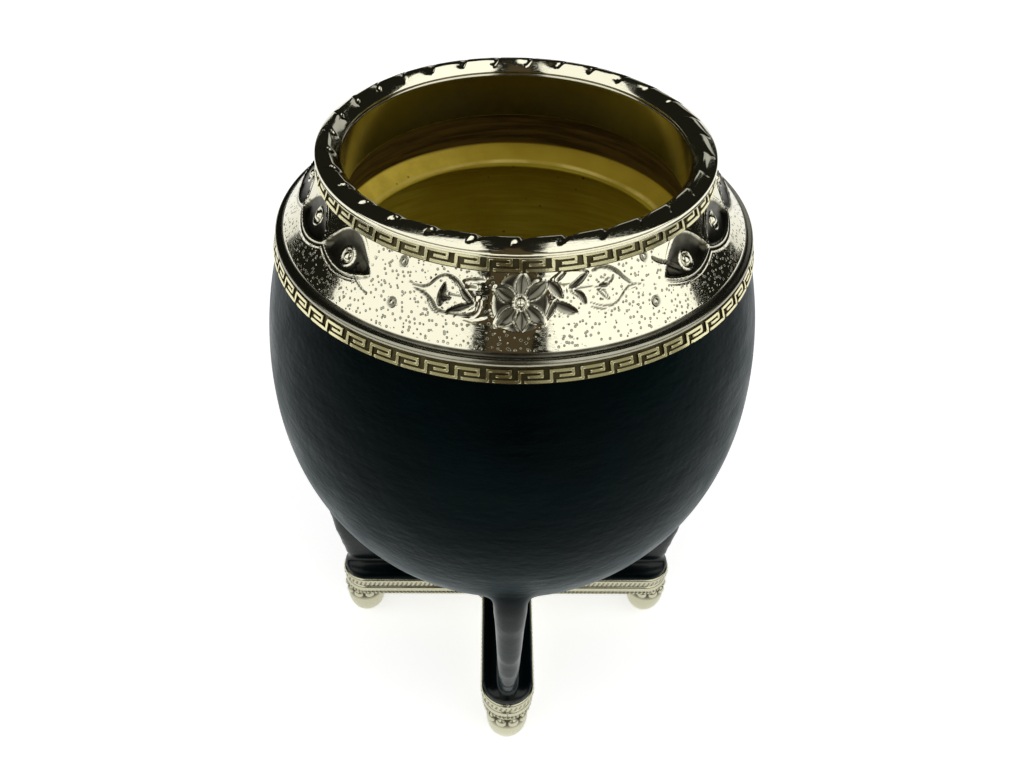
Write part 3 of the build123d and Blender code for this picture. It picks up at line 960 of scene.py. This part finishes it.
def key_band(name, units, foot, top, relief, stands_for):
    columns = len(KEY[0])
    pattern = ("." * columns, *KEY, "." * columns)
    foot, top = np.array(foot), np.array(top)
    out = np.array([top[1] - foot[1], foot[0] - top[0]]) / np.hypot(*(top - foot))
    bm = bmesh.new()
    bmesh.ops.create_grid(bm, x_segments=units * columns, y_segments=len(pattern), size=0.5)
    for vert in bm.verts:
        turn = 2 * pi * (vert.co.x + 0.5)
        radius, z = foot + ROW_EDGES[round((vert.co.y + 0.5) * len(pattern))] * (top - foot)
        vert.co = (radius * sin(turn), -radius * cos(turn), z)
    bmesh.ops.remove_doubles(bm, verts=bm.verts, dist=1e-4)
    bars = []
    for face in bm.faces:
        middle = face.calc_center_median()
        share = (middle.z - foot[1]) / (top[1] - foot[1])
        row = sum(share > edge for edge in ROW_EDGES) - 1
        turn = atan2(middle.x, -middle.y) % (2 * pi)
        if pattern[row][int(turn / (2 * pi) * units * columns) % columns] == "1":
            bars.append(face)
    made = bmesh.ops.extrude_face_region(bm, geom=bars)["geom"]
    bmesh.ops.delete(bm, geom=bars, context="FACES")
    for vert in (item for item in made if isinstance(item, bmesh.types.BMVert)):
        away = vert.co.xy.normalized() * out[0] * relief
        vert.co += Vector((away.x, away.y, out[1] * relief))
    tops = {item for item in made if isinstance(item, bmesh.types.BMFace)}
    crests = [edge for edge in bm.edges if len(tops.intersection(edge.link_faces)) == 1]
    bevel(bm, crests, BAR_ROUNDING, "EDGES", 2)
    inner, back = extrude_edges(bm, [edge for edge in bm.edges if edge.is_boundary])
    for vert in inner:
        vert.co.xy *= 1 - BAND_THICKNESS / vert.co.xy.length
    bmesh.ops.bridge_loops(bm, edges=back)
    bmesh.ops.scale(bm, verts=bm.verts, vec=(MM, MM, MM))
    bmesh.ops.recalc_face_normals(bm, faces=bm.faces)
    piece = finish(bm, name, band_silver, "polished_metal", stands_for, smooth=False)
    points = read_points(piece.data)
    line = np.stack([polar(points)[0], points[:, 2]], axis=1) - foot
    # Tarnish and painted shade on the floor between the bars.
    store(piece, "hollow", np.clip(1 - (line @ out) / (0.7 * relief), 0, 1))
    return piece


lower_foot = (hem_radius + 0.06, COLLAR_FOOT_Z)
lower_top = (hem_radius - 0.83, COLLAR_FOOT_Z + 2.42)
upper_foot = (FLARE_TOP[0] + 0.36, COLLAR_TOP_Z - 2.45)
upper_top = (FLARE_TOP[0] - 0.66, COLLAR_TOP_Z)
key_band("lower_key_frieze", 56, lower_foot, lower_top, 0.30, "lower_key_band")
key_band("upper_key_frieze", 44, upper_foot, upper_top, 0.26, "upper_key_band")

# %% [markdown]
# ## Leather skin
# On the real cup one skin runs from the belly down the webs and over the cross, with soft fillets
# where they meet. A voxel remesh melts the belly, the webs and the pad of the cross into one
# surface. Smoothing makes the fillets: many rounds near a join and fewer further out, because a
# hard end to it would show as a step in the shine. Smoothing also thins the webs, so they are
# pushed out again. The belly away from the webs is then put back on its turned outline, so that
# the remesh leaves no trace in its reflections. Last, the top is cut open and an inner bowl is
# joined on, so that the skin is a closed shell.

# %% Melt belly, webs and cross together
SKIN = 1.5
VOXEL = 0.75
WEBS = ("web_1", "web_2", "web_3", "web_4")
WEB_TOP_Z, TRUE_ABOVE_Z = 64, 62
FILLETS = ((1.6, 8), (2.8, 6), (4.2, 4), (5.8, 4))


def belly_outline(inset, top_z, steps, first=0.0):
    depth = LOWER_DEPTH - inset
    low = [WIDEST_Z - depth * (1 - (step / steps) ** 2) for step in range(steps + 1)]
    high = [WIDEST_Z + (top_z - WIDEST_Z) * step / steps for step in range(1, steps + 1)]
    return [(body_radius(z, inset) if z > low[0] else 0.0, z) for z in low + high]


def melted_skin():
    outline = belly_outline(0.0, SKIN_TOP_Z + 2.0, 40)
    bm = lathe(outline + [(0.0, SKIN_TOP_Z + 2.0)], 160)
    for name in ("leather_cross", *WEBS):
        bm.from_mesh(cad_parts[name].data)
    bmesh.ops.remove_doubles(bm, verts=bm.verts, dist=1e-6)
    piece = new_object(bm, "melting")
    remesh = piece.modifiers.new("remesh", "REMESH")
    remesh.mode = "VOXEL"
    remesh.voxel_size = VOXEL * MM
    graph = bpy.context.evaluated_depsgraph_get()
    melted = bpy.data.meshes.new_from_object(piece.evaluated_get(graph))
    bpy.data.objects.remove(piece)
    bm = bmesh.new()
    bm.from_mesh(melted)
    return bm


print("pieces melted into the skin: belly, leather_cross,", ", ".join(WEBS))


# %% Soften the joins and turn the belly true
def soften(bm, chosen, rounds, swell=0.0):
    """Smooths some vertices; with a swell, each round also puffs them out by that factor."""
    every_way = {"use_axis_x": True, "use_axis_y": True, "use_axis_z": True}
    for _ in range(rounds):
        for factor in (0.5, -swell) if swell else (0.5,):
            bmesh.ops.smooth_vert(bm, verts=chosen, factor=factor, **every_way)


def puff_out(bm, chosen, amount):
    """Pushes web vertices out again by what the smoothing took, less towards pad and belly."""
    bm.normal_update()
    for vert in chosen:
        stand, _ = off_the_belly(vert.co)
        share = smoothstep(PAD_TOP_Z, PAD_TOP_Z + 2.5, vert.co.z / MM)
        share *= smoothstep(0.4, 3.0, stand)
        vert.co += vert.normal * float(amount * share * MM)


def off_the_belly(point):
    """How far outside the turned outline a point lies, and how far it is from the nearest web."""
    x, y, z = point / MM
    radius, rise = sqrt(x * x + y * y), z - WIDEST_Z
    height, power = (UPPER_HEIGHT, 2) if rise > 0 else (LOWER_DEPTH, FULLNESS)
    share = ((radius / BODY_RADIUS) ** power + (abs(rise) / height) ** power) ** (1 / power)
    return sqrt(radius**2 + rise**2) * (1 - 1 / max(share, 1e-6)), min(abs(x), abs(y))


def true_the_belly(bm):
    """Pulls points near the turned outline on to it, less and less towards a web."""
    for vert in bm.verts:
        stand, beside = off_the_belly(vert.co)
        share = 1.0 if vert.co.z / MM > TRUE_ABOVE_Z else min(1.0, max(0.0, (beside - 6.0) / 3.0))
        if abs(stand) > 1.0 or share == 0.0:
            continue
        middle = Vector((0, 0, WIDEST_Z * MM))
        arm = vert.co - middle
        vert.co = middle + arm * (1 - share * stand * MM / arm.length)


def close_inwards(bm):
    """Turns the open top edge in and carries it down, ring by ring, as the inside of the skin."""
    edges = [edge for edge in bm.edges if edge.is_boundary]
    for radius, z in belly_outline(SKIN, SKIN_TOP_Z, 12)[:0:-1]:
        ring, edges = extrude_edges(bm, edges)
        for vert in ring:
            share = radius * MM / vert.co.xy.length
            vert.co = (vert.co.x * share, vert.co.y * share, z * MM)
    bmesh.ops.pointmerge(bm, verts=ring, merge_co=(0, 0, (SKIN_FOOT_Z + SKIN) * MM))


def leather_skin():
    bm = melted_skin()
    near = []
    for vert in bm.verts:
        stand, beside = off_the_belly(vert.co)
        if vert.co.z < WEB_TOP_Z * MM and beside < 7 and stand > -1.0:
            near.append((stand, vert))
    for reach, rounds in FILLETS:
        joins = [vert for stand, vert in near if stand < reach and vert.co.xy.length > 0.012]
        soften(bm, joins, rounds)
    low = [vert for stand, vert in near if stand > 0.6]
    soften(bm, [vert for vert in low if vert.co.z < (PAD_TOP_Z + 1.0) * MM], 4)
    webs = [vert for vert in low if vert.co.z > (PAD_TOP_Z - 0.2) * MM]
    soften(bm, webs, 16)
    puff_out(bm, webs, 0.6)
    soften(bm, webs, 6, 0.47)
    true_the_belly(bm)
    cut = {"plane_co": (0, 0, SKIN_TOP_Z * MM), "plane_no": (0, 0, 1), "clear_outer": True}
    bmesh.ops.bisect_plane(bm, geom=everything(bm), dist=1e-7, **cut)
    close_inwards(bm)
    bmesh.ops.recalc_face_normals(bm, faces=bm.faces)
    stands_for = ("leather_cover", "leather_cross", *WEBS)
    piece = finish(bm, "leather_skin", leather, "black_leather", *stands_for)
    drawn = np.zeros(len(piece.data.vertices))
    fade = smoothstep(SKIN_FOOT_Z + 30, SKIN_FOOT_Z + 10, read_points(piece.data)[:, 2])
    for number in np.flatnonzero(fade):
        stand, beside = off_the_belly(piece.data.vertices[number].co)
        drawn[number] = smoothstep(0.2, 2.2, stand) * smoothstep(5.0, 3.5, beside) * fade[number]
    store(piece, "drawn", drawn)
    return piece


leather_skin()

# %% [markdown]
# ## Gourd
# Only the inside of the gourd shows: the neck wall under the sleeve, the ledge cut round the
# mouth, its ring and the belly. The same outline as the CAD part is turned with finer steps and
# rounded edges, and the hand of the maker is put in by moving the points a little, so that the
# ledge is not quite level or round.

# %% Gourd
GOURD_OUTER, GOURD_WALL = 1.6, 4.6
LEDGE_STEPS = ((-0.5, 103.0), (-0.62, 103.5), (-0.5, 104.1), (-0.15, 104.5), (0.5, 104.9))
LEDGE_STEPS += ((1.2, 105.5), (1.9, 106.1), (2.4, 106.6), (2.42, 106.95))
SHOULDER_STEPS = ((0.55, 99.4), (1.9, 101.0), (4.2, 102.2))


def gourd():
    bore = MOUTH_RADIUS + 0.7
    wall = belly_outline(GOURD_OUTER + GOURD_WALL, 97.6, 26)
    shoulder = [(wall[-1][0] - inwards, z) for inwards, z in SHOULDER_STEPS]
    shoulder += [(MOUTH_RADIUS + 2.5, 102.8)]
    ledge = [(MOUTH_RADIUS + outwards, z) for outwards, z in LEDGE_STEPS]
    neck = [(bore + 1.6 - 0.2 * step, 107.4 + 0.95 * step) for step in range(7)]
    neck += [(bore, 114.2), (bore, GOURD_TOP_Z - 0.3), (bore + 0.4, GOURD_TOP_Z)]
    neck += [(bore + 1.9, GOURD_TOP_Z)]
    outside = belly_outline(GOURD_OUTER, GOURD_TOP_Z - 11.0, 16)
    section = wall + shoulder + ledge + neck + outside[::-1]
    piece = finish(lathe(section, 256), "gourd_shell", gourd_shell, "gourd_shell", "gourd")
    points = read_points(piece.data)
    z = points[:, 2]
    radius, turn = polar(points)
    wander = 0.18 * np.sin(2 * turn + 0.6) + 0.12 * np.sin(5 * turn + 2.0)
    wander += 0.07 * np.sin(11 * turn)
    on_ledge = smoothstep(102.6, 103.6, z) * smoothstep(107.6, 106.6, z)
    on_ledge *= radius < MOUTH_RADIUS + 9
    z += 0.6 * wander * on_ledge
    points[:, :2] *= (1 - 0.5 * wander * on_ledge / np.maximum(radius, 1))[:, None]
    write_points(piece.data, points)
    return piece


gourd()

# %% [markdown]
# ## Moulded frame
# The cross stands in a cast frame with a moulded side: a half-round strip with a row of slanting
# rope marks, a deep groove, a plain strip and a fine row of beads. The plan starts as a square,
# its four sides are extruded into arms, and the corners are rounded by bevelling vertices. The
# outline is then lifted and stepped in or out, ring after ring, along the moulding's section, and
# both ends are filled flat.

# %% Plan of the frame
ARM_WIDTH = 11.4
CROTCH_FILLET, CROTCH_ARC = 2.6, 4.1
PITCH, ROPE_PITCH, BEAD_PITCH = 0.27, 1.05, 0.92


def frame_plan():
    """Outline of the cross as a flat face whose edges are all about one pitch long."""
    bm = bmesh.new()
    half = ARM_WIDTH / 2 * MM
    bmesh.ops.create_grid(bm, x_segments=1, y_segments=1, size=half)
    for side in list(bm.edges):
        outwards = (side.verts[0].co + side.verts[1].co) / 2
        tips, _ = extrude_edges(bm, [side])
        reach = outwards.normalized() * (ARM_REACH * MM - half)
        bmesh.ops.translate(bm, verts=tips, vec=reach)
    bmesh.ops.dissolve_faces(bm, faces=bm.faces, use_verts=False)
    tips = [vert for vert in bm.verts if vert.co.length > 2 * half]
    crotches = [vert for vert in bm.verts if vert.co.length < 2 * half]
    bevel(bm, tips, half * 0.999, "VERTICES", round(pi / 2 * half / (PITCH * MM)))
    bevel(bm, crotches, CROTCH_FILLET * MM, "VERTICES", round(CROTCH_ARC / PITCH))
    for edge in [edge for edge in bm.edges if edge.calc_length() > 2 * PITCH * MM]:
        cuts = round(edge.calc_length() / (PITCH * MM)) - 1
        bmesh.ops.subdivide_edges(bm, edges=[edge], cuts=cuts)
    return bm


def walk(face):
    """Corners of a face in order, with the level outward direction and the distance walked."""
    points = np.array([vert.co.xy for vert in face.verts]) / MM
    if np.cross(points, np.roll(points, -1, 0)).sum() < 0:
        points = points[::-1]
    ahead = np.roll(points, -1, 0) - np.roll(points, 1, 0)
    ahead /= np.hypot(*ahead.T)[:, None]
    steps = np.hypot(*(points - np.roll(points, 1, 0)).T)
    steps[0] = 0
    return points, np.stack([ahead[:, 1], -ahead[:, 0]], axis=1), np.cumsum(steps)


# %% Section of the moulding, from the foot up: (outwards, height, rope, bead)
UNDER_Z, GROOVE_Z = FRAME_FOOT_Z, FRAME_FOOT_Z + 2.9
moulding = [(-1.3, UNDER_Z, 0, 0), (-0.75, UNDER_Z + 0.02, 0, 0)]
for step in range(7):
    turn = radians(-80 + 160 * step / 6)
    moulding.append((-0.72 + 0.42 * cos(turn), UNDER_Z + 0.5 + 0.45 * sin(turn), 0, cos(turn)))
moulding.append((-0.72, UNDER_Z + 1.0, 0, -0.6))
for step in range(8):
    turn = radians(-75 + 155 * step / 7)
    moulding.append((-0.75 + 0.50 * cos(turn), UNDER_Z + 1.85 + 0.82 * sin(turn), 0, 0))
moulding += [(-0.80, GROOVE_Z - 0.12, 0, -1), (-0.82, GROOVE_Z + 0.12, 0, -1)]
for step in range(11):
    turn = radians(-78 + 165 * step / 10)
    rope = max(0.0, cos(turn + 0.55)) * (turn < 0.5)
    moulding.append((-0.62 + 0.62 * cos(turn), GROOVE_Z + 1.42 + 1.18 * sin(turn), rope, 0))
moulding.append((-1.35, FRAME_TOP_Z, 0, 0))
print(f"{len(moulding)} rings from foot to top of the moulding")


# %% The moulded frame itself
def moulded_frame():
    bm = frame_plan()
    plan = bm.faces[:][0]
    points, outwards, walked = walk(plan)
    total = walked[-1] + PITCH
    rope_count, bead_count = round(total / ROPE_PITCH), round(total / BEAD_PITCH)
    loop, verts = list(bm.edges), plan.verts[:]
    flat = np.array([vert.co.xy for vert in verts]) / MM
    order = [int(np.argmin(np.hypot(*(points - spot).T))) for spot in flat]
    bmesh.ops.delete(bm, geom=[plan], context="FACES_ONLY")
    dark = {}

    def shape(ring, level):
        out, z, rope, bead = level
        for vert, at in zip(ring, order):
            slant = 2 * pi * (walked[at] / total * rope_count - 0.35 * (z - GROOVE_Z))
            dots = 2 * pi * walked[at] / total * bead_count
            cut = rope * (0.5 - 0.5 * cos(slant)) ** 3
            gap = max(0.0, bead) * (0.5 - 0.5 * cos(dots)) ** 2
            x, y = points[at] + outwards[at] * (out - 0.30 * cut - 0.24 * gap)
            vert.co = (x * MM, y * MM, z * MM)
            # Tarnish and painted shade in the rope cuts, the bead gaps and the groove.
            dark[vert] = min(1.0, 1.1 * cut + 1.2 * gap + (0.9 if bead < 0 else 0.0))

    shape(verts, moulding[0])
    ring, edges = verts, loop
    for level in moulding[1:]:
        made, edges = extrude_edges(bm, edges)
        new = set(made)
        linked = [[edge.other_vert(vert) for edge in vert.link_edges] for vert in ring]
        ring = [next(vert for vert in others if vert in new) for others in linked]
        shape(ring, level)
    for rim_edges in (loop, edges):
        bmesh.ops.triangle_fill(bm, edges=rim_edges, use_beauty=True)
    hollow = [dark[vert] for vert in bm.verts]
    bmesh.ops.recalc_face_normals(bm, faces=bm.faces)
    piece = finish(bm, "moulded_frame", stand_silver, "stand_metal", "base_frame")
    store(piece, "hollow", hollow)
    return piece


moulded_frame()

# %% [markdown]
# ## Ball feet
# Each foot is a turned dome with a small flat below. Under the frame it has a ring of egg-shaped
# beads. The foot is spun finely and the beads are raised by moving its points.

# %% Feet
EGGS, STEPS_PER_EGG = 10, 14
EGG_MIDDLE_Z, EGG_HALF_HEIGHT, EGG_HALF_WIDTH = 8.2, 1.15, 0.42


def ball_foot(number):
    low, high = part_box(f"foot_{number}")
    middle = (low + high) / 2
    section = [(0.0, 0.0), (1.3, 0.0)]
    for turn in np.radians(np.linspace(8, 90, 12)):
        section.append((1.3 + 3.1 * sin(turn), 5.6 - 5.6 * cos(turn)))
    section += [(4.38, 6.2), (4.22, 6.75), (4.12, 7.0)]
    for turn in np.radians(np.linspace(12, 168, 11)):
        section.append((4.12 + 0.35 * sin(turn), 7.15 + 2.1 * (1 - cos(turn)) / 2))
    section += [(4.05, 9.45), (4.0, 9.75), (0.0, 9.75)]
    bm = lathe(section, STEPS_PER_EGG * EGGS)
    name, cad_name = f"ball_foot_{number}", f"foot_{number}"
    piece = finish(bm, name, stand_silver, "stand_metal", cad_name)
    points = read_points(piece.data)
    z = points[:, 2]
    radius, turn = np.hypot(points[:, 0], points[:, 1]), np.arctan2(points[:, 1], points[:, 0])
    rise = (z - EGG_MIDDLE_Z) / EGG_HALF_HEIGHT
    beside = ((turn * EGGS / (2 * pi) + 0.5) % 1 - 0.5) / EGG_HALF_WIDTH
    on_band = (z > 7.05) & (z < 9.35) & (radius > 3.5)
    swell = np.sqrt(np.clip(1 - rise**2 - beside**2, 0, 1)) * on_band
    move = 0.62 * swell - 0.22 * on_band
    points[:, :2] *= (1 + move / np.maximum(radius, 1))[:, None]
    # Tarnish and painted shade between the eggs and in the neck under them.
    hollow = np.clip(on_band * (1 - 3.0 * swell), 0, 1) + 0.5 * ((z > 6.6) & (z < 7.1))
    points += np.array([middle.x, middle.y, 0]) / MM
    write_points(piece.data, points)
    store(piece, "hollow", np.clip(hollow, 0, 1))
    return piece


for number in range(1, 5):
    ball_foot(number)

# %% [markdown]
# ## Floor
# The cup stands on a plain pale floor, which keeps its shadow. To the camera and to reflections
# the floor also glows a little, so that it looks like the same white paper as the background.

# %% Floor
def stage_piece(bm, name, material, hidden_from=()):
    """Something that isn't part of the cup, and the kinds of ray that pass through it."""
    made = new_object(bm, name)
    made.data.materials.append(material)
    for kind in hidden_from:
        setattr(made, "visible_" + kind, False)
    return made


def seen_rays(tree):
    """1 for rays from the camera, a mirror or glass, and 0 for light that scatters."""
    rays = node(tree, "ShaderNodeLightPath").outputs
    seen = math(tree, "MAXIMUM", rays["Is Camera Ray"], rays["Is Glossy Ray"])
    return math(tree, "MAXIMUM", seen, rays["Is Transmission Ray"])


def glow(tree, colour, strength):
    inputs = {"Color": colour, "Strength": strength}
    return node(tree, "ShaderNodeEmission", inputs).outputs[0]


WHITE = (1.0, 1.0, 1.0)
floor_white, tree = empty_material("floor white")
paper = node(tree, "ShaderNodeBsdfDiffuse", {"Color": (0.86, 0.86, 0.86)}).outputs[0]
shine = glow(tree, WHITE, times(tree, seen_rays(tree), 0.62))
both = node(tree, "ShaderNodeAddShader", {0: paper, 1: shine}).outputs[0]
node(tree, "ShaderNodeOutputMaterial", {"Surface": both})
bm = bmesh.new()
bmesh.ops.create_grid(bm, x_segments=1, y_segments=1, size=6.0)
floor = stage_piece(bm, "floor", floor_white)
print("floor:", [round(side, 1) for side in floor.dimensions[:2]], "m")

# %% [markdown]
# ## Soft boxes
# Polished metal shows whatever stands round it, so the lights matter as much as the finish. Two
# large soft boxes, left and right of the front, give the collar its two bright fields, with a dark
# gap between them. A small one lights the back. A dim warm card stands in the gap, close to the
# cup, and gives the front of the metal its brown. A box that would reach below the floor is folded
# up on to it.

# %% Soft boxes
LIGHT_MIDDLE_Z, ABOVE_FLOOR = 0.11, 0.002


def glowing(name, colour, strength=1.0):
    material, tree = empty_material(name)
    node(tree, "ShaderNodeOutputMaterial", {"Surface": glow(tree, colour, strength)})
    return material


def soft_box(name, left, right, low, high, strength, colour=WHITE, away=0.9, gap=0.0):
    """A bright patch of a sphere round the cup, between two azimuths and two elevations."""
    bm = bmesh.new()
    bmesh.ops.create_grid(bm, x_segments=16, y_segments=10, size=0.5)
    for vert in bm.verts:
        turn = radians(left + (right - left) * (vert.co.x + 0.5))
        rise = radians(low + (high - low) * (vert.co.y + 0.5))
        to_floor = (LIGHT_MIDDLE_Z - ABOVE_FLOOR) / max(1e-6, -sin(rise))
        reach = min(away, to_floor)
        x, y, z = sin(turn) * cos(rise), -cos(turn) * cos(rise), sin(rise)
        x = max(x, gap) if left > 0 else min(x, -gap) if right < 0 else x
        vert.co = (reach * x, reach * y, LIGHT_MIDDLE_Z + reach * z)
    print(f"{name}: azimuth {left} to {right}, elevation {low} to {high}, strength {strength}")
    return stage_piece(bm, name, glowing(name, colour, strength), ("camera", "shadow"))


soft_box("soft_box_right", 16, 90, 9, 82, 1.3, gap=0.165)
soft_box("soft_box_left", -90, -20, 9, 82, 1.2, gap=0.165)
soft_box("soft_box_back", 142, 218, 9, 29, 0.5)
soft_box("warm_card", -13, 8, -24, 78, 0.07, (1.0, 0.74, 0.42), 0.34)

# %% [markdown]
# ## World, dark room and low wall
# The world is white to the camera and to reflections, and gives a plain level of light. A dark
# room, seen only by reflections, stands between it and the cup, because bright metal looks flat
# when everything round it is white. A low grey wall in front gives the foot of the collar and the
# stand something lighter to mirror, as a table top would.

# %% World and dark room
world = bpy.data.worlds.new("world")
bpy.context.scene.world = world
world.use_nodes = True
tree = world.node_tree
tree.nodes.clear()
strength = math(tree, "ADD", times(tree, seen_rays(tree), 0.65), 0.35)
inputs = {"Color": WHITE, "Strength": strength}
sky = node(tree, "ShaderNodeBackground", inputs).outputs[0]
node(tree, "ShaderNodeOutputWorld", {"Surface": sky})

MIRRORED_ONLY = ("camera", "diffuse", "transmission", "shadow")
bm = bmesh.new()
bmesh.ops.create_icosphere(bm, subdivisions=4, radius=2.5)
cut = {"plane_co": (0, 0, 0.01), "plane_no": (0, 0, -1), "clear_outer": True}
bmesh.ops.bisect_plane(bm, geom=everything(bm), **cut)
stage_piece(bm, "dark_room", glowing("dark room", (0.012, 0.012, 0.009)), MIRRORED_ONLY)

# %% Low wall
WALL_RADIUS, WALL_HEIGHT = 0.36, 0.165
bm = bmesh.new()
bmesh.ops.create_circle(bm, radius=WALL_RADIUS, segments=64)
behind = [vert for vert in bm.verts if vert.co.y > -0.08]
bmesh.ops.delete(bm, geom=behind, context="VERTS")
top_verts, _ = extrude_edges(bm, bm.edges[:])
bmesh.ops.translate(bm, verts=top_verts, vec=(0, 0, WALL_HEIGHT))
stage_piece(bm, "low_wall", glowing("low wall", (0.32, 0.31, 0.25)), MIRRORED_ONLY)
print("seen in reflections only: dark_room, low_wall")

# %% [markdown]
# ## View transform
# The view transform is the plain one, so a colour is shown as it is written. The model may not
# outgrow the part.

# %% View transform
bpy.context.scene.view_settings.view_transform = "Standard"
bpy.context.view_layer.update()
